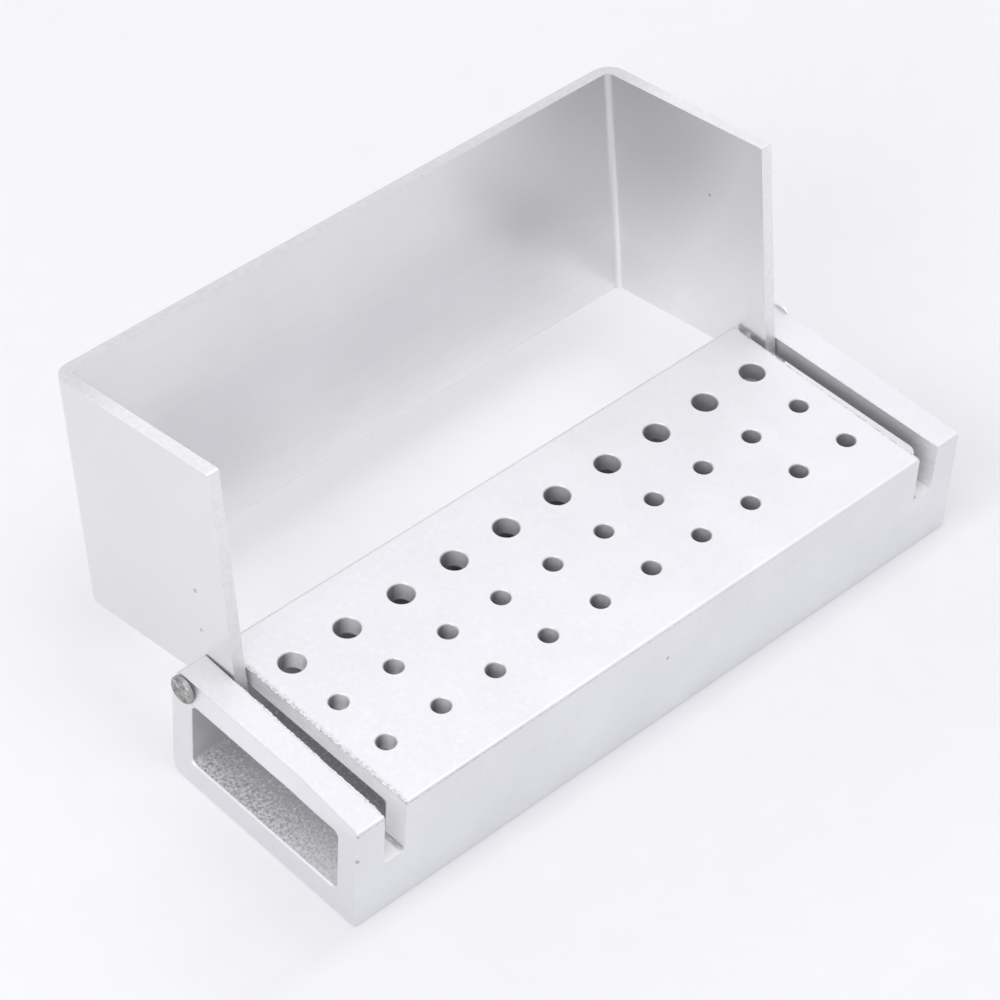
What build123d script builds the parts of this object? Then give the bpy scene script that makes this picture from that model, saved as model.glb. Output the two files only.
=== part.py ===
# Bur block with a hinged cover: a short length of rectangular aluminium tube
# with thirty drilled holes, a bent sheet cover that swings on two short pins,
# and a saw cut near each end in which the cover's side plates run.
#
# Millimetres, +Z up. X runs along the block, Y from the front face (-Y) to the
# back face (+Y). The origin is the middle of the block's underside. The cover
# is drawn swung open behind the block, as it rests.

import os
from math import cos, radians, sin

from build123d import *

os.makedirs("parts", exist_ok=True)

# Block
block_length = 76.4
block_depth = 24.7
block_height = 12.3
top_wall = 2.0
bottom_wall = 2.9
front_wall = 2.6
back_wall = 2.7
cavity_corner_radius = 0.6
front_edge_radius = 0.3
back_top_edge_radius = 0.4
back_bottom_edge_radius = 1.8
edge_break = 0.15

# The left end is filed back along its top edge, less so towards the front
filed_height = 2.7
filed_depth = 0.7
filed_front_height = 0.4
filed_front_depth = 0.1
filed_fade = 8.3

# Saw cuts that leave a tab at each end. They are a little wider at the front.
tab_thickness = 3.75
slot_width = 1.85
slot_flare = 0.65
left_slot_floor = 6.2
right_slot_floor = 6.9
slot_floor_radius = 0.8

# Holes for the instruments
hole_columns = 10
hole_pitch = 6.5
row_pitch = 6.2
row_offset = 0.25
large_hole_radius = 1.25
small_hole_radius = 0.9
hole_rim_break = 0.12

# Hinge pins
pin_from_back = 1.4
pin_from_top = 1.0
pin_radius = 0.55
pin_head_radius = 1.4
pin_head_thickness = 0.4
pin_head_seat = 0.3
pin_head_clearance = 0.05
pin_head_break = 0.12
pin_tip_break = 0.2
pin_grip_in_block = 3.4
pin_end_clearance = 0.3
hinge_clearance = 0.06

# Cover
sheet_thickness = 1.3
bend_radius = 0.7
cover_reach = 19.0
cover_front_lip = 2.8
cover_tail = 2.0
cover_rise = 23.1
cover_corner_radius = 0.25
cover_side_gap = 0.1
rest_tilt = 8.8

# Places that follow from the sizes above
half_length = block_length / 2
half_depth = block_depth / 2
slot_middle = half_length - tab_thickness - slot_width / 2
slot_outer = half_length - tab_thickness
filed_full_y = filed_fade - half_depth
cavity_height = block_height - top_wall - bottom_wall
cavity_depth = block_depth - front_wall - back_wall
cavity_middle_y = (front_wall - back_wall) / 2
cavity_middle_z = bottom_wall + cavity_height / 2
hinge_y = half_depth - pin_from_back
hinge_z = block_height - pin_from_top
head_outer_x = half_length - pin_head_seat + pin_head_thickness
pin_length = tab_thickness + slot_width + pin_grip_in_block
pin_bore_depth = pin_length + pin_end_clearance
cover_half_length = half_length - tab_thickness - cover_side_gap
cover_width = cover_tail + cover_rise
back_row_y = row_offset + row_pitch
front_row_y = row_offset - row_pitch

# The end face plane has its own x along +Y and its own y along +Z.
end_plane = Plane(origin=(0, 0, 0), x_dir=(0, 1, 0), z_dir=(1, 0, 0))
hinge_plane = Plane(origin=(0, hinge_y, hinge_z), x_dir=(0, 1, 0), z_dir=(1, 0, 0))

# Block: the tube first, then the saw cuts, the instrument holes and the
# blind holes that the pins are pressed into.
with BuildPart() as block:
    with BuildSketch(end_plane.offset(-half_length)) as tube_profile:
        with Locations((0, block_height / 2)):
            Rectangle(block_depth, block_height)
        fillet(tube_profile.vertices().group_by(Axis.X)[0], front_edge_radius)
        back_bottom = tube_profile.vertices().group_by(Axis.X)[-1].sort_by(Axis.Y)[0]
        fillet(back_bottom, back_bottom_edge_radius)
        back_top = tube_profile.vertices().group_by(Axis.Y)[-1].sort_by(Axis.X)[-1]
        fillet(back_top, back_top_edge_radius)
        with Locations((cavity_middle_y, cavity_middle_z)):
            RectangleRounded(cavity_depth, cavity_height, cavity_corner_radius, mode=Mode.SUBTRACT)
    extrude(amount=block_length)
    end_faces = block.faces().filter_by(Axis.X)
    chamfer(end_faces.edges(), edge_break)

    # The filed edge: a shallow wedge that fades out towards the front corner.
    with BuildSketch(Plane.XZ.offset(half_depth)) as filed_front:
        with BuildLine():
            Polyline(
                (-half_length, block_height - filed_front_height),
                (-half_length, block_height),
                (-half_length + filed_front_depth, block_height),
                close=True,
            )
        make_face()
    with BuildSketch(Plane.XZ.offset(-filed_full_y)) as filed_full:
        with BuildLine():
            Polyline(
                (-half_length, block_height - filed_height),
                (-half_length, block_height),
                (-half_length + filed_depth, block_height),
                close=True,
            )
        make_face()
    loft(mode=Mode.SUBTRACT)
    with BuildSketch(Plane.XZ.offset(-filed_full_y)):
        with BuildLine():
            Polyline(
                (-half_length, block_height - filed_height),
                (-half_length, block_height),
                (-half_length + filed_depth, block_height),
                close=True,
            )
        make_face()
    extrude(amount=filed_full_y - half_depth, mode=Mode.SUBTRACT)

    # The left cut runs right through from front to back, with the corner of
    # its floor rounded on the side of the main block.
    with BuildSketch(Plane.XZ.offset(-half_depth)) as left_slot:
        with Locations((-slot_middle, left_slot_floor)):
            Rectangle(slot_width, block_height, align=(Align.CENTER, Align.MIN))
        left_floor = left_slot.vertices().group_by(Axis.Y)[0].sort_by(Axis.X)
        fillet(left_floor[-1], slot_floor_radius)
    extrude(amount=block_depth, mode=Mode.SUBTRACT)

    with BuildSketch(Plane.XZ.offset(-half_depth)) as right_slot:
        with Locations((slot_middle, right_slot_floor)):
            Rectangle(slot_width, block_height, align=(Align.CENTER, Align.MIN))
        right_floor = right_slot.vertices().group_by(Axis.Y)[0].sort_by(Axis.X)
        fillet(right_floor[0], slot_floor_radius)
    extrude(amount=block_depth, mode=Mode.SUBTRACT)

    # Each cut widens towards the front, all of it on the side of the tab.
    for side, cut_floor in ((-1, left_slot_floor), (1, right_slot_floor)):
        with BuildSketch(Plane.XY.offset(cut_floor)):
            with BuildLine():
                Polyline(
                    (side * slot_middle, half_depth),
                    (side * slot_outer, half_depth),
                    (side * (slot_outer + slot_flare), -half_depth),
                    (side * slot_middle, -half_depth),
                    close=True,
                )
            make_face()
        extrude(amount=block_height, mode=Mode.SUBTRACT)

    # Ten large holes along the back and two rows of ten small ones before them.
    with BuildSketch(Plane.XY.offset(block_height)) as large_holes:
        with Locations((0, back_row_y)):
            with GridLocations(hole_pitch, 0, hole_columns, 1):
                Circle(large_hole_radius)
    extrude(amount=-(top_wall + cavity_height / 2), mode=Mode.SUBTRACT)

    with BuildSketch(Plane.XY.offset(block_height)) as small_holes:
        with Locations((0, row_offset), (0, front_row_y)):
            with GridLocations(hole_pitch, 0, hole_columns, 1):
                Circle(small_hole_radius)
    extrude(amount=-(top_wall + cavity_height / 2), mode=Mode.SUBTRACT)

    top_face = block.faces().filter_by(Axis.Z).filter_by_position(
        Axis.Z, block_height - 0.01, block_height + 0.01
    )
    rims = top_face.edges().filter_by(GeomType.CIRCLE)
    chamfer(rims, hole_rim_break)

    # A blind hole for a pin from each end, through the tab and across the cut.
    with BuildSketch(hinge_plane.offset(-half_length)):
        Circle(pin_radius)
    extrude(amount=pin_bore_depth, mode=Mode.SUBTRACT)
    with BuildSketch(hinge_plane.offset(half_length)):
        Circle(pin_radius)
    extrude(amount=-pin_bore_depth, mode=Mode.SUBTRACT)

    # A shallow flat seat for the head of each pin.
    with BuildSketch(hinge_plane.offset(-half_length)):
        Circle(pin_head_radius + pin_head_clearance)
    extrude(amount=pin_head_seat, mode=Mode.SUBTRACT)
    with BuildSketch(hinge_plane.offset(half_length)):
        Circle(pin_head_radius + pin_head_clearance)
    extrude(amount=-pin_head_seat, mode=Mode.SUBTRACT)

block.part.label = "block"
export_step(block.part, "parts/block.step")

# Cover: one sheet bent twice. Its own plane lies across the hinge axis, with x
# along the block, y back from the hinge and z up the open cover.
tilt = radians(rest_tilt)
cover_plane = Plane(
    origin=(0, hinge_y, hinge_z),
    x_dir=(1, 0, 0),
    z_dir=(0, sin(tilt), cos(tilt)),
)

with BuildPart() as cover:
    with BuildSketch(cover_plane.offset(-cover_tail)) as channel:
        with Locations((0, (cover_reach - cover_front_lip) / 2)):
            Rectangle(2 * cover_half_length, cover_reach + cover_front_lip)
        outer_bends = channel.vertices().group_by(Axis.Y)[-1]
        fillet(outer_bends, bend_radius + sheet_thickness)
        with Locations((0, -cover_front_lip)):
            Rectangle(
                2 * (cover_half_length - sheet_thickness),
                cover_reach + cover_front_lip - sheet_thickness,
                align=(Align.CENTER, Align.MIN),
                mode=Mode.SUBTRACT,
            )
        inner_y = cover_reach - sheet_thickness
        inner_bends = channel.vertices().filter_by_position(Axis.Y, inner_y - 0.01, inner_y + 0.01)
        fillet(inner_bends, bend_radius)
    extrude(amount=cover_width)

    # The free corners of the side plates are rounded a little.
    plate_corners = cover.edges().filter_by(Axis.X)
    plate_corners = plate_corners.filter_by(lambda edge: edge.length < 2 * sheet_thickness)
    fillet(plate_corners, cover_corner_radius)

    with BuildSketch(hinge_plane):
        Circle(pin_radius + hinge_clearance)
    extrude(amount=half_length, both=True, mode=Mode.SUBTRACT)

cover.part.label = "cover"
export_step(cover.part, "parts/cover.step")

# Pins: a flat head in its seat on the end face and a plain shank through the
# tab, the side plate and into the main block.
with BuildPart() as left_pin:
    with BuildSketch(hinge_plane.offset(-head_outer_x)):
        Circle(pin_head_radius)
    extrude(amount=pin_head_thickness)
    head_rim = left_pin.edges().group_by(Axis.X)[0]
    chamfer(head_rim, pin_head_break)
    with BuildSketch(hinge_plane.offset(-half_length)):
        Circle(pin_radius)
    extrude(amount=pin_length)
    pin_tip = left_pin.edges().group_by(Axis.X)[-1]
    chamfer(pin_tip, pin_tip_break)

left_pin.part.label = "left_pin"
export_step(left_pin.part, "parts/left_pin.step")

with BuildPart() as right_pin:
    mirror(left_pin.part, about=Plane.YZ)

right_pin.part.label = "right_pin"
export_step(right_pin.part, "parts/right_pin.step")
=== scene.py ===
"""Looks for the bur block: blasted block, satin sheet cover, steel pins and a pale studio.

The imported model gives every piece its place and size. This file dresses those pieces,
adds the ragged metal that the saw left along the left cut, and sets the camera and light.
All lengths are in metres, in the model's own frame: x runs along the block, y from its
front to its back, and z up.
"""

from __future__ import annotations

import logging
import math
from collections.abc import Callable
from dataclasses import dataclass, field
from enum import Enum

import bpy
from mathutils import Matrix, Vector


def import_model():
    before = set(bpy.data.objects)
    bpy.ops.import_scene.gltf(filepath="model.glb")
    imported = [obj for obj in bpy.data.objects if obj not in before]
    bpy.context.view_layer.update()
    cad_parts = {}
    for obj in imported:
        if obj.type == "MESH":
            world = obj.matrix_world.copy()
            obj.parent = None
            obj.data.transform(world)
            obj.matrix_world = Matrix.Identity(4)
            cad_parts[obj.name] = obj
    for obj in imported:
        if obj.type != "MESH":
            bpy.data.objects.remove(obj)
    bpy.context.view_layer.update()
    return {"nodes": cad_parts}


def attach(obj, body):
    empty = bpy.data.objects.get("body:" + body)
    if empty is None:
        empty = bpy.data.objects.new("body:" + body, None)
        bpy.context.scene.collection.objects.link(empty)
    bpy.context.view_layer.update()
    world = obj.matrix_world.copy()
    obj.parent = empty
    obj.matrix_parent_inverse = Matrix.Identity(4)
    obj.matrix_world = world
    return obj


MM = 0.001
LOG = logging.getLogger("bur_block")
Point = tuple[float, float, float]
Colour = tuple[float, float, float, float]
Socket = bpy.types.NodeSocket
Value = Socket | float | Colour


class Body(Enum):
    """The two rigid bodies that a piece can ride on."""

    BASE = "base"
    LID = "lid"


class Side(Enum):
    """The two ends of the block, as the sign of x."""

    LEFT = -1
    RIGHT = 1


# ---------------------------------------------------------------- node writing


class Shader:
    """Writes one procedural material, node by node."""

    EDGE_FLAT = 0.97
    EDGE_SHARP = 0.72

    def __init__(self, name: str) -> None:
        """Starts a material with one principled shader.

        Args:
            name: The material's name.
        """
        self.material = bpy.data.materials.new(name)
        self.material.use_nodes = True
        self.tree = self.material.node_tree
        self.tree.nodes.clear()
        self.output = self.tree.nodes.new("ShaderNodeOutputMaterial")
        self.surface = self.tree.nodes.new("ShaderNodeBsdfPrincipled")
        self.tree.links.new(self.surface.outputs["BSDF"], self.output.inputs["Surface"])
        self.place = self.tree.nodes.new("ShaderNodeTexCoord").outputs["Object"]
        split = self.tree.nodes.new("ShaderNodeSeparateXYZ")
        self.tree.links.new(self.place, split.inputs[0])
        self.x, self.y, self.z = split.outputs

    def join(self, source: Value, target: Socket) -> None:
        """Links a socket to another, or writes a plain value into it.

        Args:
            source: An output socket, or the value to write.
            target: The input socket that takes it.
        """
        if isinstance(source, Socket):
            self.tree.links.new(source, target)
        else:
            target.default_value = source

    def math(self, operation: str, a: Value, b: Value = 0.0, clamp: bool = False) -> Socket:
        """One step of arithmetic.

        Args:
            operation: The Math node's operation.
            a: First value or socket.
            b: Second value or socket.
            clamp: Whether the answer is kept between 0 and 1.

        Returns:
            The answer's socket.
        """
        node = self.tree.nodes.new("ShaderNodeMath")
        node.operation = operation
        node.use_clamp = clamp
        self.join(a, node.inputs[0])
        self.join(b, node.inputs[1])
        return node.outputs[0]

    def times(self, first: Value, *others: Value) -> Socket:
        """Multiplies values or masks.

        Args:
            first: First value or socket.
            *others: The values or sockets to multiply it by.

        Returns:
            The product's socket.
        """
        for other in others:
            first = self.math("MULTIPLY", first, other)
        return first

    def plus(self, a: Value, b: Value) -> Socket:
        """Adds two values."""
        return self.math("ADD", a, b)

    def minus(self, a: Value, b: Value) -> Socket:
        """Takes the second value from the first."""
        return self.math("SUBTRACT", a, b)

    def most(self, a: Value, b: Value) -> Socket:
        """The larger of two values or masks."""
        return self.math("MAXIMUM", a, b)

    def under(self, value: Value, limit: Value) -> Socket:
        """A mask: 1 where a value is below a limit."""
        return self.math("LESS_THAN", value, limit)

    def over(self, value: Value, limit: Value) -> Socket:
        """A mask: 1 where a value is above a limit."""
        return self.math("GREATER_THAN", value, limit)

    def off_middle(self) -> Socket:
        """Distance from the middle of the block, along it."""
        return self.math("ABSOLUTE", self.x)

    def stretch(
        self, value: Value, low: float, high: float, to_low: float = 0.0, to_high: float = 1.0
    ) -> Socket:
        """Maps a value from one range to another, clamped at both ends.

        Args:
            value: The socket to map.
            low: Start of the range it comes from.
            high: End of the range it comes from.
            to_low: Start of the new range.
            to_high: End of the new range.

        Returns:
            The mapped value's socket.
        """
        node = self.tree.nodes.new("ShaderNodeMapRange")
        node.clamp = True
        self.join(value, node.inputs["Value"])
        node.inputs["From Min"].default_value = low
        node.inputs["From Max"].default_value = high
        node.inputs["To Min"].default_value = to_low
        node.inputs["To Max"].default_value = to_high
        return node.outputs["Result"]

    def by_side(self, left: float, right: float) -> Socket:
        """One value on the left half of the block and another on the right half."""
        return self.stretch(self.x, -1.0 * MM, 1.0 * MM, left, right)

    def along(self, left: float = 0.0, right: float = 1.0) -> Socket:
        """A value that changes evenly from the left of the block to the right."""
        return self.stretch(self.x, -30.0 * MM, 30.0 * MM, left, right)

    def scaled(self, factors: Point) -> Socket:
        """Object coordinates scaled along each axis, for stretched patterns.

        Args:
            factors: Scale along x, y and z.

        Returns:
            The scaled coordinates' socket.
        """
        node = self.tree.nodes.new("ShaderNodeMapping")
        node.inputs["Scale"].default_value = factors
        self.join(self.place, node.inputs["Vector"])
        return node.outputs["Vector"]

    def noise(
        self, size: float, detail: float = 4.0, rough: float = 0.5, stretched: Point | None = None
    ) -> Socket:
        """Cloudy noise.

        Args:
            size: Size of one blotch, in metres.
            detail: How many finer layers it has.
            rough: How strong the finer layers are.
            stretched: Scale of the pattern along x, y and z, if it isn't even.

        Returns:
            The noise value's socket.
        """
        node = self.tree.nodes.new("ShaderNodeTexNoise")
        node.inputs["Scale"].default_value = 1.0 / size
        node.inputs["Detail"].default_value = detail
        node.inputs["Roughness"].default_value = rough
        place = self.place if stretched is None else self.scaled(stretched)
        self.join(place, node.inputs["Vector"])
        return node.outputs["Fac"]

    def blend(self, factor: Value, first: Value, second: Value) -> Socket:
        """Mixes two colours.

        Args:
            factor: 0 gives the first colour and 1 the second.
            first: Colour or socket.
            second: Colour or socket.

        Returns:
            The mixed colour's socket.
        """
        node = self.tree.nodes.new("ShaderNodeMix")
        node.data_type = "RGBA"
        self.join(factor, node.inputs[0])
        self.join(first, node.inputs[6])
        self.join(second, node.inputs[7])
        return node.outputs[2]

    def mix(self, factor: Value, first: Value, second: Value) -> Socket:
        """Mixes two plain values.

        Args:
            factor: 0 gives the first value and 1 the second.
            first: Value or socket.
            second: Value or socket.

        Returns:
            The mixed value's socket.
        """
        node = self.tree.nodes.new("ShaderNodeMix")
        node.data_type = "FLOAT"
        self.join(factor, node.inputs[0])
        self.join(first, node.inputs[2])
        self.join(second, node.inputs[3])
        return node.outputs[0]

    def facing(self, way: Value) -> Socket:
        """How far the surface faces a way.

        Args:
            way: A direction of length 1, fixed or from a socket.

        Returns:
            A socket: 1 where the surface faces that way, -1 where it faces the other.
        """
        plain = self.tree.nodes.new("ShaderNodeNewGeometry")
        dot = self.tree.nodes.new("ShaderNodeVectorMath")
        dot.operation = "DOT_PRODUCT"
        self.join(plain.outputs["Normal"], dot.inputs[0])
        self.join(way, dot.inputs[1])
        return dot.outputs["Value"]

    def edge_mask(self, radius: float) -> Socket:
        """How near a point is to a sharp edge, from the rounded normal.

        Args:
            radius: How far in from the edge the mask reaches.

        Returns:
            A mask socket: 0 on flat metal, up to 1 at an edge.
        """
        rounded = self.tree.nodes.new("ShaderNodeBevel")
        rounded.samples = 2
        rounded.inputs["Radius"].default_value = radius
        return self.stretch(
            self.facing(rounded.outputs["Normal"]), self.EDGE_FLAT, self.EDGE_SHARP
        )

    def distance(self, middle: Point) -> Socket:
        """Distance of the shaded point from a fixed one.

        Args:
            middle: The fixed point.

        Returns:
            The distance's socket, in metres.
        """
        node = self.tree.nodes.new("ShaderNodeVectorMath")
        node.operation = "DISTANCE"
        self.join(self.place, node.inputs[0])
        node.inputs[1].default_value = middle
        return node.outputs["Value"]

    def spot(self, mark: Mark, ragged: Value) -> Socket:
        """A small ragged mark around a point.

        Args:
            mark: The mark's middle and radius.
            ragged: A noise socket that breaks up its outline.

        Returns:
            A mask socket: 1 in the mark and 0 outside it.
        """
        wobble = self.times(self.minus(ragged, 0.5), mark.radius * mark.wobble)
        reach = self.plus(self.distance(mark.middle), wobble)
        return self.stretch(reach, mark.radius * mark.core, mark.radius, 1.0, 0.0)

    def bump(self, height: Value, depth: float, strength: float = 1.0) -> Socket:
        """Turns a height into a bent normal.

        Args:
            height: The height's socket, from 0 to 1.
            depth: How deep a height of 1 is, in metres.
            strength: How much of it shows.

        Returns:
            The normal's socket.
        """
        node = self.tree.nodes.new("ShaderNodeBump")
        node.inputs["Strength"].default_value = strength
        node.inputs["Distance"].default_value = depth
        self.join(height, node.inputs["Height"])
        return node.outputs["Normal"]

    def finish(
        self, colour: Value, rough: Value, metal: Value, normal: Socket | None = None
    ) -> bpy.types.Material:
        """Joins the four main answers to the shader.

        Args:
            colour: Base colour.
            rough: Roughness.
            metal: How metallic the surface is.
            normal: The bent normal, if there is one.

        Returns:
            The finished material.
        """
        self.join(colour, self.surface.inputs["Base Color"])
        self.join(rough, self.surface.inputs["Roughness"])
        self.join(metal, self.surface.inputs["Metallic"])
        if normal is not None:
            self.join(normal, self.surface.inputs["Normal"])
        return self.material


# ------------------------------------------------------------------- finishes


@dataclass(frozen=True)
class Mark:
    """A small dark nick or scratch on a surface."""

    middle: Point
    radius: float
    core: float = 0.55
    wobble: float = 1.6
    strength: float = 0.6


@dataclass(frozen=True)
class BlastedMetal:
    """The block's metal: fine blasting outside, saw marks in the cuts, coarse grain inside."""

    skin: Colour = (0.87, 0.87, 0.89, 1.0)
    skin_dark: Colour = (0.76, 0.76, 0.78, 1.0)
    cut: Colour = (0.95, 0.95, 0.955, 1.0)
    cut_dark: Colour = (0.80, 0.80, 0.81, 1.0)
    bore: Colour = (1.0, 1.0, 1.0, 1.0)
    bore_right: Colour = (0.50, 0.50, 0.52, 1.0)
    bore_shade: Colour = (0.34, 0.34, 0.355, 1.0)
    wall: Colour = (0.64, 0.64, 0.66, 1.0)
    wall_dark: Colour = (0.54, 0.54, 0.56, 1.0)
    floor: Colour = (0.95, 0.95, 0.96, 1.0)
    floor_dark: Colour = (0.33, 0.33, 0.34, 1.0)
    # Painted shade for the hollow's floor deeper in.
    deep: Colour = (0.50, 0.50, 0.515, 1.0)
    # Dark grey of torn metal and of the grey line, also used as painted shade in the cuts.
    grey_and_shade: Colour = (0.40, 0.40, 0.42, 1.0)
    # Pale flecks on top; also used for painted light, glints and highlights.
    bright: Colour = (0.96, 0.96, 0.97, 1.0)
    nick: Colour = (0.30, 0.30, 0.32, 1.0)

    skin_rough: tuple[float, float] = (0.46, 0.60)
    cut_rough: float = 0.45
    bore_rough: float = 0.45
    wall_rough: float = 0.6
    floor_rough: tuple[float, float] = (0.6, 0.3)
    worn_rough: float = 0.4
    skin_metal: float = 0.92
    cut_metal: float = 0.30
    bore_metal: float = 0.10
    hollow_metal: float = 0.20

    grain_size: float = 0.15 * MM
    cloud_size: float = 7.0 * MM
    saw_size: float = 0.45 * MM
    saw_stretch: Point = (1.0, 0.3, 1.0)
    chip_size: float = 0.45 * MM
    speck_size: float = 0.36 * MM
    fleck_size: float = 0.55 * MM
    grain_depth: float = 0.012 * MM
    grain_strength: float = 0.6
    edge_reach: float = 0.16 * MM

    top: float = 12.3 * MM
    end_x: float = 38.2 * MM
    front_y: float = -12.35 * MM
    slot_inner: float = 32.6 * MM
    slot_middle: float = 33.5 * MM
    slot_outer: float = 34.775 * MM
    slot_slant: float = -0.02632
    slot_round: float = 0.75 * MM
    left_floor: float = 6.2 * MM
    right_floor: float = 6.9 * MM
    left_torn: float = 0.50 * MM
    right_torn: float = 0.25 * MM
    hole_rows: float = 9.5 * MM
    hollow_low: float = 2.9 * MM
    hollow_high: float = 10.3 * MM
    hollow_front: float = -9.75 * MM
    hollow_back: float = 9.65 * MM
    # The way that the wall with the painted bright streak faces.
    bore_glow: Point = (-0.942, -0.336, 0.0)
    marks: tuple[Mark, ...] = (
        Mark((-38.18 * MM, -12.33 * MM, 8.7 * MM), 0.30 * MM),
        Mark((-38.18 * MM, -12.33 * MM, 11.9 * MM), 0.20 * MM),
        Mark((-0.6 * MM, -12.35 * MM, 8.1 * MM), 0.22 * MM),
    )

    def outer_edge(self, s: Shader) -> Socket:
        """The outer wall of a cut, which slants: its distance from the block's middle."""
        return s.plus(s.times(s.y, self.slot_slant), self.slot_outer)

    def above_floor(self, s: Shader) -> Socket:
        """Height above the floor of the cut on the same side."""
        return s.minus(s.z, s.by_side(self.left_floor, self.right_floor))

    def on_top(self, s: Shader) -> Socket:
        """Finds the top face: 1 on it and 0 below it."""
        return s.stretch(s.z, self.top - 0.1 * MM, self.top - 0.02 * MM)

    def slot_mask(self, s: Shader) -> Socket:
        """Finds the walls and floors of the two saw cuts.

        Args:
            s: The material's writer.

        Returns:
            A mask socket: 1 on a sawn surface.
        """
        across = s.off_middle()
        past_inner = s.stretch(across, self.slot_inner - 0.03 * MM, self.slot_inner - 0.01 * MM)
        short_of_outer = s.stretch(s.minus(across, self.outer_edge(s)), 0.03 * MM, 0.01 * MM)
        above = s.stretch(self.above_floor(s), -0.05 * MM, -0.02 * MM)
        return s.times(above, past_inner, short_of_outer)

    def cut_edge_mask(self, s: Shader) -> Socket:
        """Finds the strips of the top face that lie along both sides of a saw cut.

        Args:
            s: The material's writer.

        Returns:
            A mask socket: 1 at the very edge, 0 further off.
        """
        across = s.off_middle()
        reach = s.by_side(self.left_torn, self.right_torn)
        plate = s.math("DIVIDE", s.minus(across, self.slot_inner), reach)
        plate = s.math("ADD", plate, 1.0, clamp=True)
        plate = s.times(plate, s.under(across, self.slot_inner + 0.3 * MM))
        past = s.minus(across, self.outer_edge(s))
        tab = s.stretch(past, self.right_torn, 0.0, 0.0, 0.5)
        tab = s.times(tab, s.over(past, -0.3 * MM))
        near_top = s.stretch(s.z, self.top - 0.2 * MM, self.top - 0.05 * MM)
        return s.times(near_top, s.most(plate, tab))

    def hole_mask(self, s: Shader) -> Socket:
        """Finds the walls of the drilled holes.

        Args:
            s: The material's writer.

        Returns:
            A mask socket: 1 on a hole's wall.
        """
        low = s.over(s.z, self.hollow_high + 0.02 * MM)
        high = s.stretch(s.z, self.top - 0.02 * MM, self.top - 0.12 * MM)
        in_rows = s.under(s.math("ABSOLUTE", s.y), self.hole_rows)
        between = s.under(s.off_middle(), self.slot_inner - 0.1 * MM)
        return s.times(low, high, in_rows, between)

    def hollow_mask(self, s: Shader) -> Socket:
        """Finds the surfaces of the hollow that runs through the block.

        Args:
            s: The material's writer.

        Returns:
            A mask socket: 1 inside the hollow.
        """
        near, far = 0.05 * MM, 0.10 * MM
        low = s.stretch(s.z, self.hollow_low - far, self.hollow_low - near)
        high = s.stretch(s.z, self.hollow_high + far, self.hollow_high + near)
        front = s.stretch(s.y, self.hollow_front - far, self.hollow_front - near)
        back = s.stretch(s.y, self.hollow_back + far, self.hollow_back + near)
        off_end = s.stretch(s.off_middle(), self.end_x - 0.15 * MM, self.end_x - 0.2 * MM)
        return s.times(low, high, front, back, off_end)

    def front_line_mask(self, s: Shader) -> Socket:
        """Finds the thin grey line under the top edge of the front face.

        Args:
            s: The material's writer.

        Returns:
            A mask socket: 1 on the line.
        """
        low = s.stretch(s.z, self.top - 0.34 * MM, self.top - 0.26 * MM)
        high = s.stretch(s.z, self.top - 0.12 * MM, self.top - 0.20 * MM)
        front = s.under(s.y, self.front_y + 0.2 * MM)
        fade = s.stretch(s.x, -20.0 * MM, 25.0 * MM, 1.0, 0.2)
        return s.times(low, high, front, fade)

    def skin_colour(self, s: Shader, fine: Value, clouds: Value, fleck: Value) -> Socket:
        """The blasted outside, with pale flecks on top that fade towards the right, and painted
        shade on the left of the top and on the left end face.

        Args:
            s: The material's writer.
            fine: Fine noise.
            clouds: Cloudy noise.
            fleck: Noise of the flecks.

        Returns:
            The colour's socket.
        """
        tone = s.plus(s.times(clouds, 0.35), s.times(fine, 0.45))
        skin = s.blend(s.stretch(tone, 0.24, 0.62, 1.0, 0.0), self.skin, self.skin_dark)
        # Painted shade: the top is made darker towards the left.
        painted_shade_left = s.times(self.on_top(s), s.stretch(s.x, 5.0 * MM, -34.0 * MM, 0.0, 0.45))
        skin = s.blend(painted_shade_left, skin, self.skin_dark)
        # Painted shade on the left end face.
        end = s.stretch(s.x, 0.2 * MM - self.end_x, 0.05 * MM - self.end_x, 0.0, 0.45)
        skin = s.blend(end, skin, self.skin_dark)
        share = s.times(self.on_top(s), s.along(0.22, 0.10), s.stretch(fleck, 0.50, 0.68))
        return s.blend(share, skin, self.bright)

    def cut_colour(self, s: Shader, saw: Value) -> Socket:
        """The sawn metal.

        It has mottled painted shade in the rounded corner at the floor of a cut and a painted
        bright floor, painted light to the front and painted shade to the back on the left cut's
        inner wall, and painted shadow on the right tab's wall.

        Args:
            s: The material's writer.
            saw: Noise stretched along the saw's way.

        Returns:
            The colour's socket.
        """
        cut = s.blend(s.stretch(saw, 0.3, 0.7), self.cut_dark, self.cut)
        rise = self.above_floor(s)
        low = s.stretch(rise, 0.02 * MM, 0.12 * MM)
        high = s.stretch(rise, 0.95 * MM, 0.65 * MM)
        rounded = s.under(s.off_middle(), self.slot_inner + self.slot_round)
        # Painted shade in the rounded corner at the floor of a cut.
        crescent = s.times(low, high, rounded, s.stretch(saw, 0.40, 0.58, 0.2, 0.9))
        cut = s.blend(crescent, cut, self.grey_and_shade)
        # Painted light: the floor of a cut is made bright.
        cut = s.blend(s.under(rise, 0.02 * MM), cut, self.bright)
        off_wall = s.math("ABSOLUTE", s.plus(s.x, self.slot_inner))
        left_wall = s.under(off_wall, 0.1 * MM)
        # Painted light towards the front of the left cut's inner wall.
        near = s.stretch(s.y, -3.0 * MM, -11.0 * MM, 0.0, 0.7)
        cut = s.blend(s.times(left_wall, near), cut, self.bright)
        # Painted shade towards the back of that wall.
        away = s.stretch(s.y, -2.0 * MM, 11.0 * MM, 0.0, 0.35)
        cut = s.blend(s.times(left_wall, away), cut, self.grey_and_shade)
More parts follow.
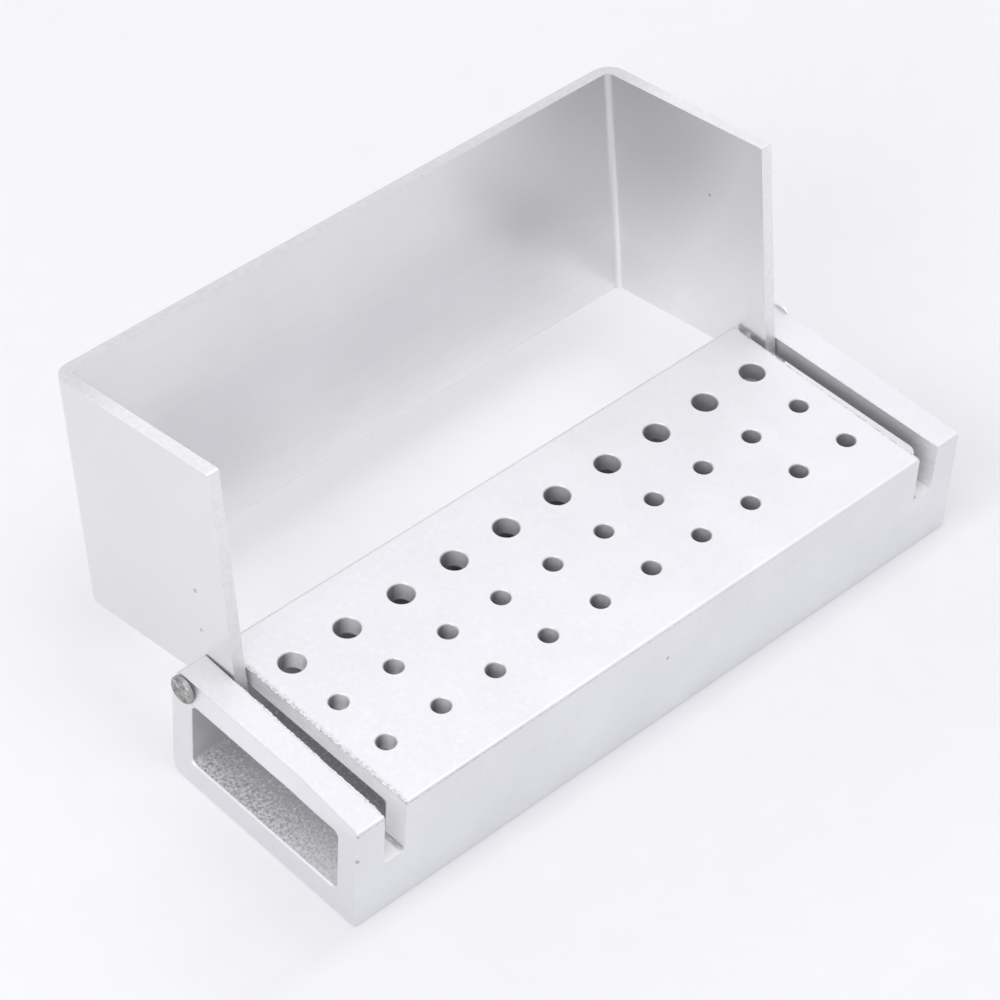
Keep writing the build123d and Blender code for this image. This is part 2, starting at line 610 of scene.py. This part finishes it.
        # Painted shadow on the right tab's wall.
        right_wall = s.over(s.x, self.slot_middle)
        behind = s.stretch(s.y, -11.6 * MM, -9.0 * MM, 0.0, 0.85)
        down = s.stretch(s.z, self.top - 0.1 * MM, self.top - 1.4 * MM, 0.45, 1.0)
        return s.blend(s.times(right_wall, behind, down), cut, self.grey_and_shade)

    def bore_colour(self, s: Shader, coarse: Value) -> Socket:
        """The drilled walls: a painted bright streak down one side with painted shade round it,
        painted shade towards the right, and a darker band at the rim.

        Args:
            s: The material's writer.
            coarse: Coarse noise.

        Returns:
            The colour's socket.
        """
        # Painted shade: the walls are made darker towards the right.
        bore = s.blend(s.along(), self.bore, self.bore_right)
        # Painted highlight where a wall faces bore_glow, painted shade where it faces away.
        off_glow = s.stretch(s.facing(self.bore_glow), 0.45, 0.97, 1.0, 0.0)
        bore = s.blend(off_glow, bore, self.bore_shade)
        rim = s.stretch(s.z, self.top - 0.16 * MM, self.top - 0.10 * MM, 0.0, 0.6)
        bore = s.blend(rim, bore, self.bore_shade)
        return s.blend(s.stretch(coarse, 0.35, 0.65, 0.0, 0.2), bore, self.bore_shade)

    def hollow_colour(self, s: Shader, on_floor: Value, clouds: Value, coarse: Value) -> Socket:
        """The hollow: plain grey walls and a speckled floor with painted glints, painted light
        towards the front and painted shade deeper in.

        Args:
            s: The material's writer.
            on_floor: Mask of the floor.
            clouds: Cloudy noise.
            coarse: Coarse noise.

        Returns:
            The colour's socket.
        """
        wall = s.blend(s.stretch(clouds, 0.3, 0.7), self.wall_dark, self.wall)
        # Painted glints on the floor.
        glint = s.stretch(coarse, 0.55, 0.60)
        speckled = s.stretch(coarse, 0.37, 0.53, 0.0, 0.8)
        floor = s.blend(speckled, self.floor_dark, self.floor)
        floor = s.blend(glint, floor, self.bright)
        # Painted light on the floor towards the front.
        front = s.stretch(s.y, 0.0, -9.0 * MM, 0.0, 0.6)
        floor = s.blend(front, floor, self.bright)
        # Painted shade on the floor deeper in, away from the open end.
        depth = s.stretch(s.off_middle(), self.end_x - 1.0 * MM, self.end_x - 4.2 * MM)
        depth = s.times(depth, s.stretch(front, 0.0, 0.6, 1.0, 0.5), s.mix(glint, 1.0, 0.45))
        floor = s.blend(depth, floor, self.deep)
        return s.blend(on_floor, wall, floor)

    def material(self) -> bpy.types.Material:
        """Writes the material.

        Returns:
            The finished material.
        """
        s = Shader("blasted_aluminium")
        in_slot = self.slot_mask(s)
        in_hollow = self.hollow_mask(s)
        in_hole = self.hole_mask(s)
        on_floor = s.stretch(s.z, self.hollow_low + 0.5 * MM, self.hollow_low + 0.1 * MM)

        fine = s.noise(self.grain_size, 2.0, 0.6)
        clouds = s.noise(self.cloud_size, 4.0, 0.55)
        saw = s.noise(self.saw_size, 3.0, 0.65, self.saw_stretch)
        chips = s.noise(self.chip_size, 2.0, 0.5)
        coarse = s.noise(self.speck_size, 3.0, 0.8)
        fleck = s.noise(self.fleck_size, 3.0, 0.7)

        colour = self.skin_colour(s, fine, clouds, fleck)
        colour = s.blend(in_slot, colour, self.cut_colour(s, saw))
        colour = s.blend(in_hole, colour, self.bore_colour(s, coarse))
        colour = s.blend(in_hollow, colour, self.hollow_colour(s, on_floor, clouds, coarse))

        ragged = s.stretch(chips, 0.42, 0.58)
        torn = s.times(self.cut_edge_mask(s), s.stretch(coarse, 0.40, 0.54))
        torn = s.times(torn, s.stretch(ragged, 0.0, 1.0, 0.4, 1.0))
        colour = s.blend(s.times(torn, 0.9), colour, self.grey_and_shade)
        line = s.times(self.front_line_mask(s), s.stretch(ragged, 0.0, 1.0, 0.25, 0.6))
        colour = s.blend(line, colour, self.grey_and_shade)

        edge = s.edge_mask(self.edge_reach)
        # Bright edges: partly wear, partly a painted highlight. The dark dents are wear.
        worn_and_lit = s.times(edge, ragged)
        dented = s.times(edge, s.stretch(chips, 0.46, 0.38))
        colour = s.blend(s.times(worn_and_lit, 0.35), colour, self.bright)
        colour = s.blend(s.times(dented, 0.35), colour, self.nick)
        for mark in self.marks:
            colour = s.blend(s.times(s.spot(mark, chips), mark.strength), colour, self.nick)

        rough = s.mix(fine, *self.skin_rough)
        rough = s.mix(in_slot, rough, self.cut_rough)
        floor_rough = s.stretch(coarse, 0.3, 0.7, *self.floor_rough)
        rough = s.mix(in_hollow, rough, s.mix(on_floor, self.wall_rough, floor_rough))
        rough = s.mix(in_hole, rough, self.bore_rough)
        rough = s.mix(s.times(worn_and_lit, 0.3), rough, self.worn_rough)
        metal = s.mix(in_slot, self.skin_metal, self.cut_metal)
        metal = s.mix(in_hole, metal, self.bore_metal)
        metal = s.mix(in_hollow, metal, self.hollow_metal)

        height = s.plus(fine, s.times(self.on_top(s), fleck, 2.0))
        height = s.mix(in_slot, height, s.times(saw, 4.0))
        height = s.mix(in_hollow, height, s.times(coarse, s.mix(on_floor, 0.8, 5.0)))
        height = s.minus(height, s.times(torn, 3.0))
        normal = s.bump(height, self.grain_depth, self.grain_strength)
        return s.finish(colour, rough, metal, normal)


@dataclass(frozen=True)
class SatinSheet:
    """The cover's sheet metal: smooth and satin, sheared edges, small scuffs."""

    skin: Colour = (0.93, 0.928, 0.93, 1.0)
    skin_dark: Colour = (0.87, 0.868, 0.87, 1.0)
    # Painted shade for the inside of the cover.
    inner_shade: Colour = (0.62, 0.615, 0.615, 1.0)
    # The outer faces get a darker copy of the skin: painted shade.
    outer: Colour = (0.81, 0.81, 0.81, 1.0)
    outer_dark: Colour = (0.78, 0.78, 0.78, 1.0)
    sheared: Colour = (0.87, 0.868, 0.868, 1.0)
    sheared_dark: Colour = (0.82, 0.818, 0.818, 1.0)
    sheared_far: Colour = (0.66, 0.66, 0.665, 1.0)
    # Bright edges: partly wear, partly a painted highlight.
    worn_and_lit: Colour = (0.95, 0.95, 0.96, 1.0)
    nick: Colour = (0.26, 0.26, 0.28, 1.0)

    skin_rough: tuple[float, float] = (0.25, 0.36)
    sheared_rough: float = 0.5
    metal: float = 0.95
    rolled_size: float = 0.5 * MM
    rolled_stretch: Point = (0.05, 1.0, 1.0)
    grain_size: float = 0.12 * MM
    cloud_size: float = 16.0 * MM
    chip_size: float = 0.4 * MM
    ragged_size: float = 0.5 * MM
    grain_depth: float = 0.005 * MM
    grain_strength: float = 0.4
    edge_reach: float = 0.14 * MM

    hinge: Point = (0.0, 10.95 * MM, 11.3 * MM)
    tilt: float = math.radians(8.8)
    rise: float = 23.1 * MM
    lip: float = 2.8 * MM
    tail: float = 2.0 * MM
    reach: float = 19.0 * MM
    half_width: float = 34.35 * MM
    inner_x: float = 33.05 * MM
    inner_shade_middle: Point = (30.0 * MM, 30.0 * MM, 36.0 * MM)
    inner_shade_core: float = 4.0 * MM
    inner_shade_reach: float = 23.0 * MM
    marks: tuple[Mark, ...] = (
        Mark((-34.35 * MM, 13.54 * MM, 19.26 * MM), 0.26 * MM),
        Mark((-34.35 * MM, 12.72 * MM, 14.93 * MM), 0.22 * MM),
        Mark((33.05 * MM, 17.42 * MM, 25.33 * MM), 0.22 * MM),
    )

    def leaning(self, s: Shader) -> tuple[Socket, Socket]:
        """The cover's own two axes, which lean back from the upright.

        Args:
            s: The material's writer.

        Returns:
            Two sockets: height above the hinge along the sheet, and reach behind it.
        """
        back = s.minus(s.y, self.hinge[1])
        up = s.minus(s.z, self.hinge[2])
        sine, cosine = math.sin(self.tilt), math.cos(self.tilt)
        height = s.plus(s.times(back, sine), s.times(up, cosine))
        reach = s.minus(s.times(back, cosine), s.times(up, sine))
        return height, reach

    def outside_mask(self, s: Shader) -> Socket:
        """Finds the outer faces of the three plates.

        Args:
            s: The material's writer.

        Returns:
            A mask socket: 1 on an outer face.
        """
        ends = s.over(s.off_middle(), self.half_width - 0.25 * MM)
        back = s.over(self.leaning(s)[1], self.reach - 0.25 * MM)
        return s.most(ends, back)

    def sheared_mask(self, s: Shader) -> Socket:
        """Finds the sheared edges of the sheet.

        Args:
            s: The material's writer.

        Returns:
            A mask socket: 1 on a sheared edge.
        """
        height, reach = self.leaning(s)
        near, far = 0.02 * MM, 0.04 * MM
        top = s.stretch(height, self.rise - far, self.rise - near)
        bottom = s.stretch(height, far - self.tail, near - self.tail)
        front = s.stretch(reach, far - self.lip, near - self.lip)
        return s.most(s.most(top, bottom), front)

    def inner_shade_mask(self, s: Shader) -> Socket:
        """Finds the painted shade on the inside of the cover.

        Args:
            s: The material's writer.

        Returns:
            A mask socket: 1 at the far corner, less towards the rim and the right hinge.
        """
        corner = s.stretch(s.distance(self.inner_shade_middle), self.inner_shade_core, self.inner_shade_reach, 1.0, 0.0)
        rim = s.stretch(s.z, 18.0 * MM, 34.0 * MM, 0.0, 0.22)
        right_plate = s.over(s.x, self.inner_x - 0.15 * MM)
        by_hinge = s.times(right_plate, s.stretch(s.y, 20.0 * MM, 11.0 * MM, 0.0, 0.45))
        return s.most(s.most(corner, rim), by_hinge)

    def sheared_colour(self, s: Shader, ragged: Value) -> Socket:
        """The sheared edges, darker along the far rim.

        Args:
            s: The material's writer.
            ragged: Noise of the shearing.

        Returns:
            The colour's socket.
        """
        sheared = s.blend(s.stretch(ragged, 0.35, 0.6), self.sheared_dark, self.sheared)
        far_rim = s.stretch(s.y, 24.0 * MM, 30.0 * MM, 0.0, 0.9)
        far_rim = s.times(far_rim, s.stretch(ragged, 0.3, 0.7, 1.0, 0.7))
        return s.blend(far_rim, sheared, self.sheared_far)

    def material(self) -> bpy.types.Material:
        """Writes the material.

        Returns:
            The finished material.
        """
        s = Shader("satin_sheet")
        edge = self.sheared_mask(s)
        rolled = s.noise(self.rolled_size, 4.0, 0.6, self.rolled_stretch)
        fine = s.noise(self.grain_size, 3.0, 0.6)
        clouds = s.noise(self.cloud_size, 4.0, 0.5)
        chips = s.noise(self.chip_size, 2.0, 0.5)
        ragged = s.noise(self.ragged_size, 3.0, 0.55)

        tone = s.plus(s.times(clouds, 0.75), s.times(rolled, 0.25))
        shade = s.stretch(tone, 0.35, 0.65, 1.0, 0.0)
        colour = s.blend(shade, self.skin, self.skin_dark)
        # Painted shade on the inside of the cover.
        colour = s.blend(self.inner_shade_mask(s), colour, self.inner_shade)
        # Painted shade: the outer faces take a darker copy of the sheet's colour.
        outer = s.blend(shade, self.outer, self.outer_dark)
        colour = s.blend(self.outside_mask(s), colour, outer)
        colour = s.blend(edge, colour, self.sheared_colour(s, ragged))
        # Bright edges: partly wear, partly a painted highlight.
        worn_and_lit = s.times(s.edge_mask(self.edge_reach), s.stretch(chips, 0.4, 0.6, 0.15, 1.0))
        colour = s.blend(s.times(worn_and_lit, 0.6), colour, self.worn_and_lit)
        for mark in self.marks:
            colour = s.blend(s.times(s.spot(mark, chips), mark.strength), colour, self.nick)

        rough = s.mix(clouds, *self.skin_rough)
        rough = s.mix(edge, rough, self.sheared_rough)
        height = s.plus(s.times(rolled, 0.25), s.times(fine, 0.4))
        height = s.mix(edge, height, s.times(ragged, 2.0))
        normal = s.bump(height, self.grain_depth, self.grain_strength)
        return s.finish(colour, rough, self.metal, normal)


@dataclass(frozen=True)
class PinSteel:
    """Plain steel with a mottled, hammered end."""

    light: Colour = (0.46, 0.445, 0.435, 1.0)
    dark: Colour = (0.22, 0.215, 0.215, 1.0)
    bright: Colour = (0.66, 0.645, 0.63, 1.0)
    side: Colour = (0.86, 0.86, 0.87, 1.0)
    # Painted shadow on the side of the left pin's head.
    side_shadow: Colour = (0.40, 0.395, 0.39, 1.0)
    rough: tuple[float, float] = (0.34, 0.58)
    metal: float = 0.9
    mottle_size: float = 0.6 * MM
    grain_size: float = 0.1 * MM
    streak_size: float = 0.5 * MM
    streak_stretch: Point = (1.0, 0.6, 1.6)
    grain_depth: float = 0.02 * MM
    grain_strength: float = 0.5
    end_x: float = 38.3 * MM

    def material(self) -> bpy.types.Material:
        """Writes the material.

        Returns:
            The finished material.
        """
        s = Shader("pin_steel")
        mottle = s.noise(self.mottle_size, 4.0, 0.6)
        fine = s.noise(self.grain_size, 3.0, 0.6)
        streak = s.noise(self.streak_size, 2.0, 0.5, self.streak_stretch)
        colour = s.blend(s.stretch(mottle, 0.38, 0.62), self.dark, self.light)
        colour = s.blend(s.stretch(streak, 0.58, 0.66, 0.0, 0.8), colour, self.bright)
        end = s.stretch(s.off_middle(), self.end_x - 0.10 * MM, self.end_x - 0.03 * MM)
        # Painted shadow on the left pin's side; the right pin keeps the plain side colour.
        side = s.blend(s.over(s.x, 0.0), self.side_shadow, self.side)
        colour = s.blend(end, side, colour)
        height = s.plus(s.times(mottle, 2.0), fine)
        normal = s.bump(height, self.grain_depth, self.grain_strength)
        return s.finish(colour, s.mix(mottle, *self.rough), self.metal, normal)


@dataclass(frozen=True)
class TornMetal:
    """Metal that the saw tore along an edge, part bright and part dull."""

    dark: Colour = (0.46, 0.46, 0.475, 1.0)
    light: Colour = (0.90, 0.90, 0.91, 1.0)
    rough: tuple[float, float] = (0.35, 0.6)
    metal: float = 0.95
    grain_size: float = 0.3 * MM
    grain_depth: float = 0.04 * MM
    grain_strength: float = 0.6

    def material(self) -> bpy.types.Material:
        """Writes the material.

        Returns:
            The finished material.
        """
        s = Shader("torn_metal")
        torn = s.noise(self.grain_size, 4.0, 0.7)
        colour = s.blend(s.stretch(torn, 0.44, 0.56), self.dark, self.light)
        normal = s.bump(torn, self.grain_depth, self.grain_strength)
        return s.finish(colour, s.mix(torn, *self.rough), self.metal, normal)


@dataclass(frozen=True)
class PaleFloor:
    """The pale studio floor, with a soft painted shade in front of the block and painted light
    towards the right.
    """

    colour: Colour = (0.68, 0.68, 0.695, 1.0)
    far_colour: Colour = (0.72, 0.72, 0.735, 1.0)
    shaded: Colour = (0.55, 0.55, 0.57, 1.0)
    glow: Colour = (0.93, 0.93, 0.95, 1.0)
    glow_strength: float = 0.26
    rough: float = 0.9
    shine: float = 0.2
    grain_size: float = 4.0 * MM
    grain_share: float = 0.04
    far_x: float = 350.0 * MM
    broad_share: float = 0.45
    broad_y: tuple[float, float] = (-46.0 * MM, -12.5 * MM)
    close_share: float = 0.55
    close_y: tuple[float, float] = (-14.6 * MM, -12.4 * MM)
    fade_x: tuple[float, float] = (60.0 * MM, 30.0 * MM)
    fade_y: tuple[float, float] = (8.0 * MM, -12.0 * MM)

    def shade_mask(self, s: Shader) -> Socket:
        """Finds the soft shade in front of the block.

        Args:
            s: The material's writer.

        Returns:
            A mask socket: 1 close to the front face, less further off.
        """
        broad = s.times(s.stretch(s.y, *self.broad_y), self.broad_share)
        close = s.times(s.stretch(s.y, *self.close_y), self.close_share)
        fade = s.times(s.stretch(s.off_middle(), *self.fade_x), s.stretch(s.y, *self.fade_y))
        return s.times(s.plus(broad, close), fade)

    def material(self) -> bpy.types.Material:
        """Writes the material.

        Returns:
            The finished material.
        """
        s = Shader("pale_floor")
        s.surface.inputs["Specular IOR Level"].default_value = self.shine
        s.surface.inputs["Emission Color"].default_value = self.glow
        s.surface.inputs["Emission Strength"].default_value = self.glow_strength
        grain = s.noise(self.grain_size, 2.0, 0.5)
        # Painted light: the floor is made brighter towards the right.
        colour = s.blend(s.stretch(s.x, 0.0, self.far_x), self.colour, self.far_colour)
        colour = s.blend(self.shade_mask(s), colour, self.shaded)
        colour = s.blend(s.stretch(grain, 0.3, 0.7, 0.0, self.grain_share), colour, self.glow)
        return s.finish(colour, self.rough, 0.0)


# ------------------------------------------------------------------- modelling


class Bench:
    """Short hand for modelling with Blender's own tools."""

    @staticmethod
    def clear() -> None:
        """Deselects everything, in object mode."""
        if bpy.context.object and bpy.context.object.mode != "OBJECT":
            bpy.ops.object.mode_set(mode="OBJECT")
        bpy.ops.object.select_all(action="DESELECT")

    @staticmethod
    def pick(obj: bpy.types.Object, test: Callable[[Vector], bool]) -> None:
        """Selects the vertices of a mesh whose place passes a test.

        Args:
            obj: The mesh object, in edit mode.
            test: A function of the vertex's place that says whether to take it.
        """
        bpy.ops.mesh.select_mode(type="VERT")
        bpy.ops.mesh.select_all(action="DESELECT")
        bpy.ops.object.mode_set(mode="OBJECT")
        for vertex in obj.data.vertices:
            vertex.select = test(vertex.co)
        bpy.ops.object.mode_set(mode="EDIT")

    @staticmethod
    def thicken(obj: bpy.types.Object, thickness: float) -> None:
        """Gives a flat mesh its thickness, downwards.

        Args:
            obj: The object.
            thickness: How thick it becomes.
        """
        modifier = obj.modifiers.new("Solidify", "SOLIDIFY")
        modifier.thickness = thickness
        modifier.offset = -1.0
        bpy.context.view_layer.objects.active = obj
        bpy.ops.object.modifier_apply(modifier=modifier.name)

    @staticmethod
    def dress(obj: bpy.types.Object, material: bpy.types.Material) -> None:
        """Gives every face of an object one material.

        Args:
            obj: The object.
            material: Its material.
        """
        obj.data.materials.clear()
        obj.data.materials.append(material)


# ----------------------------------------------------------------- sub-assemblies


@dataclass
class DrilledBlock:
    """The block itself, as packed, in its blasted metal."""

    finish: BlastedMetal = field(default_factory=BlastedMetal)
    node: str = "block"
    body: Body = Body.BASE

    def build(self, nodes: dict[str, bpy.types.Object]) -> list[bpy.types.Object]:
        """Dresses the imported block.

        Args:
            nodes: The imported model's pieces by name.

        Returns:
            The dressed piece.
        """
        Bench.dress(nodes[self.node], self.finish.material())
        return [nodes[self.node]]


@dataclass
class BentCover:
    """The bent sheet cover, as packed, in its satin metal."""

    finish: SatinSheet = field(default_factory=SatinSheet)
    node: str = "cover"
    body: Body = Body.LID

    def build(self, nodes: dict[str, bpy.types.Object]) -> list[bpy.types.Object]:
        """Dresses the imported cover.

        Args:
            nodes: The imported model's pieces by name.

        Returns:
            The dressed piece.
        """
        Bench.dress(nodes[self.node], self.finish.material())
        return [nodes[self.node]]


@dataclass
class HingePins:
    """The two hinge pins, as packed, in plain steel."""

    finish: PinSteel = field(default_factory=PinSteel)
    names: tuple[str, str] = ("left_pin", "right_pin")
    body: Body = Body.BASE

    def build(self, nodes: dict[str, bpy.types.Object]) -> list[bpy.types.Object]:
        """Dresses both packed pins with one material.

        Args:
            nodes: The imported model's pieces by name.

        Returns:
            The dressed pieces.
        """
        steel = self.finish.material()
        for name in self.names:
            Bench.dress(nodes[name], steel)
        return [nodes[name] for name in self.names]


@dataclass
class TornEdge:
    """A thin ragged lip of metal along the top edge of a saw cut."""

    name: str
    front: Vector
    back: Vector
    towards: int
    seed: int
    body: Body = Body.BASE
    slot: str = "block_metal"
    lip: float = 0.10 * MM
    thickness: float = 0.05 * MM
    sunk: float = 0.01 * MM
    taper: float = 0.5 * MM
    steps: int = 52
    ragged: float = 0.75
    finely_ragged: float = 0.2
    tucked: float = 0.8

    def is_outer(self, place: Vector) -> bool:
        """Whether a point lies on the free edge of the flat strip."""
        return place.x * self.towards > 0.5 * self.lip

    def roughen(self, strip: bpy.types.Object, share: float, seed: int) -> None:
        """Moves the points of the free edge about.

        Args:
            strip: The flat strip, in edit mode.
            share: How far they move, as a share of the lip's width.
            seed: Picks one of many ragged outlines.
        """
        Bench.pick(strip, self.is_outer)
        bpy.ops.transform.vertex_random(
            offset=self.lip * share, uniform=0.6, normal=0.0, seed=seed
        )

    def build(self, material: bpy.types.Material) -> bpy.types.Object:
        """Models the lip and lets it ride on the block.

        Args:
            material: The torn metal.

        Returns:
            The finished lip.
        """
        Bench.clear()
        run = self.back - self.front
        bpy.ops.mesh.primitive_grid_add(
            x_subdivisions=2, y_subdivisions=self.steps, size=1.0, location=(0, 0, 0)
        )
        strip = bpy.context.object
        strip.name = self.name
        strip.data.name = self.name
        origin = (0, 0, 0)
        bpy.ops.object.mode_set(mode="EDIT")
        bpy.ops.mesh.select_all(action="SELECT")
        bpy.ops.transform.resize(
            value=(2.0 * self.lip, run.length, 1.0), center_override=origin
        )
        self.roughen(strip, self.ragged, self.seed)
        bpy.ops.mesh.select_all(action="SELECT")
        bpy.ops.mesh.subdivide(number_cuts=1, smoothness=0.6)
        self.roughen(strip, self.finely_ragged, self.seed + 1)
        end_y = run.length / 2 - self.taper
        Bench.pick(strip, lambda place: self.is_outer(place) and abs(place.y) > end_y)
        bpy.ops.transform.translate(value=(-self.tucked * self.lip * self.towards, 0, 0))
        bpy.ops.mesh.select_all(action="SELECT")
        bpy.ops.transform.resize(value=(1.0, 1.0, 0.0), center_override=origin)
        turn = math.atan2(run.x, run.y)
        bpy.ops.transform.rotate(value=turn, orient_axis="Z", center_override=origin)
        middle = (self.front + self.back) / 2 - Vector((0.0, 0.0, self.sunk))
        bpy.ops.transform.translate(value=middle)
        bpy.ops.mesh.normals_make_consistent(inside=False)
        bpy.ops.object.mode_set(mode="OBJECT")
        Bench.thicken(strip, self.thickness)
        Bench.dress(strip, material)
        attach(strip, self.body.value)
        return strip


@dataclass
class SawCuts:
    """The torn lips along one saw cut. The right cut is clean."""

    finish: TornMetal = field(default_factory=TornMetal)
    side: Side = Side.LEFT
    body: Body = Body.BASE
    plate_x: float = 32.6 * MM
    tab_front_x: float = 35.1 * MM
    tab_back_x: float = 34.45 * MM
    half_depth: float = 12.35 * MM
    front_gap: float = 0.15 * MM
    tab_end_y: float = 7.6 * MM
    plate_end_y: float = 12.1 * MM
    top_z: float = 12.3 * MM
    plate_seed: int = 7
    tab_seed: int = 3

    def tab_x(self, y: float) -> float:
        """The place of the tab's inner edge.

        Args:
            y: How far back, from the block's middle.

        Returns:
            The edge's distance from the middle of the block.
        """
        share = (y + self.half_depth) / (2 * self.half_depth)
        return self.tab_front_x + share * (self.tab_back_x - self.tab_front_x)

    def build(self) -> list[bpy.types.Object]:
        """Models one lip on each side of the cut.

        Returns:
            The two lips.
        """
        material = self.finish.material()
        sign = self.side.value
        word = self.side.name.lower()
        start_y = self.front_gap - self.half_depth
        plate = TornEdge(
            name=f"{word}_plate_lip",
            front=Vector((sign * self.plate_x, start_y, self.top_z)),
            back=Vector((sign * self.plate_x, self.plate_end_y, self.top_z)),
            towards=sign,
            seed=self.plate_seed,
            body=self.body,
        )
        tab = TornEdge(
            name=f"{word}_tab_lip",
            front=Vector((sign * self.tab_x(start_y), start_y, self.top_z)),
            back=Vector((sign * self.tab_x(self.tab_end_y), self.tab_end_y, self.top_z)),
            towards=-sign,
            seed=self.tab_seed,
            body=self.body,
        )
        return [plate.build(material), tab.build(material)]


# ------------------------------------------------------------------------ studio


@dataclass(frozen=True)
class Lamp:
    """One soft box: its place, what it points at, its size and its strength."""

    name: str
    place: Point
    target: Point
    size: float
    watts: float

    def build(self) -> bpy.types.Object:
        """Adds the lamp.

        Returns:
            The lamp.
        """
        data = bpy.data.lights.new(self.name, "AREA")
        data.shape = "SQUARE"
        data.size = self.size
        data.energy = self.watts
        lamp = bpy.data.objects.new(self.name, data)
        lamp.location = self.place
        aim = Vector(self.target) - Vector(self.place)
        lamp.rotation_euler = aim.to_track_quat("-Z", "Y").to_euler()
        bpy.context.scene.collection.objects.link(lamp)
        return lamp


@dataclass
class Studio:
    """Floor, light, backdrop and the camera at the photograph's angle."""

    floor_finish: PaleFloor = field(default_factory=PaleFloor)
    floor_size: float = 3.0
    backdrop: Colour = (0.93, 0.93, 0.962, 1.0)
    sky_strength: float = 0.66
    eye: Point = (-0.182398, -0.166902, 0.259175)
    right: Point = (0.7280, -0.6840, 0.0457)
    down: Point = (-0.4551, -0.5321, -0.7140)
    focal_pixels: float = 3824.08
    picture_pixels: float = 1000.0
    sensor_width: float = 36.0
    clip_start: float = 0.01
    clip_end: float = 10.0
    lamps: tuple[Lamp, ...] = (
        Lamp("overhead_box", (0.04, -0.04, 0.90), (0.0, 0.0, 0.0), 0.72, 2.8),
        Lamp("left_box", (-0.50, -0.10, 0.35), (0.0, 0.0, 0.01), 0.35, 0.85),
    )

    def floor(self) -> None:
        """Lays the floor under the block."""
        Bench.clear()
        bpy.ops.mesh.primitive_plane_add(size=self.floor_size, location=(0, 0, 0))
        floor = bpy.context.object
        floor.name = "studio_floor"
        Bench.dress(floor, self.floor_finish.material())

    def sky(self) -> None:
        """Sets the even light and the pale backdrop that the camera and the metal see."""
        world = bpy.data.worlds.new("studio")
        bpy.context.scene.world = world
        world.use_nodes = True
        tree = world.node_tree
        tree.nodes.clear()
        soft = tree.nodes.new("ShaderNodeBackground")
        soft.inputs["Color"].default_value = self.backdrop
        soft.inputs["Strength"].default_value = self.sky_strength
        seen = tree.nodes.new("ShaderNodeBackground")
        seen.inputs["Color"].default_value = self.backdrop
        seen.inputs["Strength"].default_value = 1.0
        path = tree.nodes.new("ShaderNodeLightPath")
        direct = path.outputs["Is Camera Ray"]
        for ray in ("Is Glossy Ray", "Is Transmission Ray"):
            either = tree.nodes.new("ShaderNodeMath")
            either.operation = "MAXIMUM"
            tree.links.new(direct, either.inputs[0])
            tree.links.new(path.outputs[ray], either.inputs[1])
            direct = either.outputs[0]
        mix = tree.nodes.new("ShaderNodeMixShader")
        tree.links.new(direct, mix.inputs[0])
        tree.links.new(soft.outputs[0], mix.inputs[1])
        tree.links.new(seen.outputs[0], mix.inputs[2])
        out = tree.nodes.new("ShaderNodeOutputWorld")
        tree.links.new(mix.outputs[0], out.inputs["Surface"])

    def camera(self) -> None:
        """Puts the camera where the photograph was taken from."""
        data = bpy.data.cameras.new("photo_camera")
        data.sensor_width = self.sensor_width
        data.lens = self.sensor_width * self.focal_pixels / self.picture_pixels
        data.clip_start = self.clip_start
        data.clip_end = self.clip_end
        camera = bpy.data.objects.new("photo_camera", data)
        right = Vector(self.right).normalized()
        up = -Vector(self.down)
        up = (up - right * up.dot(right)).normalized()
        back = right.cross(up)
        turn = Matrix((right, up, back)).transposed().to_4x4()
        camera.matrix_world = Matrix.Translation(Vector(self.eye)) @ turn
        bpy.context.scene.collection.objects.link(camera)
        bpy.context.scene.camera = camera

    def build(self) -> None:
        """Builds the whole studio."""
        self.floor()
        self.sky()
        for lamp in self.lamps:
            lamp.build()
        self.camera()
        bpy.context.scene.view_settings.view_transform = "Standard"


# -------------------------------------------------------------------------- main


def report(pieces: list[bpy.types.Object], body: Body) -> None:
    """Logs each finished piece.

    Args:
        pieces: The pieces of one sub-assembly.
        body: The body that they ride on.
    """
    for piece in pieces:
        LOG.info("%s on %s, %d faces", piece.name, body.value, len(piece.data.polygons))


def main() -> None:
    """Builds and dresses the part, then the studio."""
    logging.basicConfig(level=logging.INFO, format="%(name)s: %(message)s")
    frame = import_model()
    for packed in (DrilledBlock(), BentCover(), HingePins()):
        report(packed.build(frame["nodes"]), packed.body)
    cuts = SawCuts()
    report(cuts.build(), cuts.body)
    Studio().build()


if __name__ == "__main__":
    main()
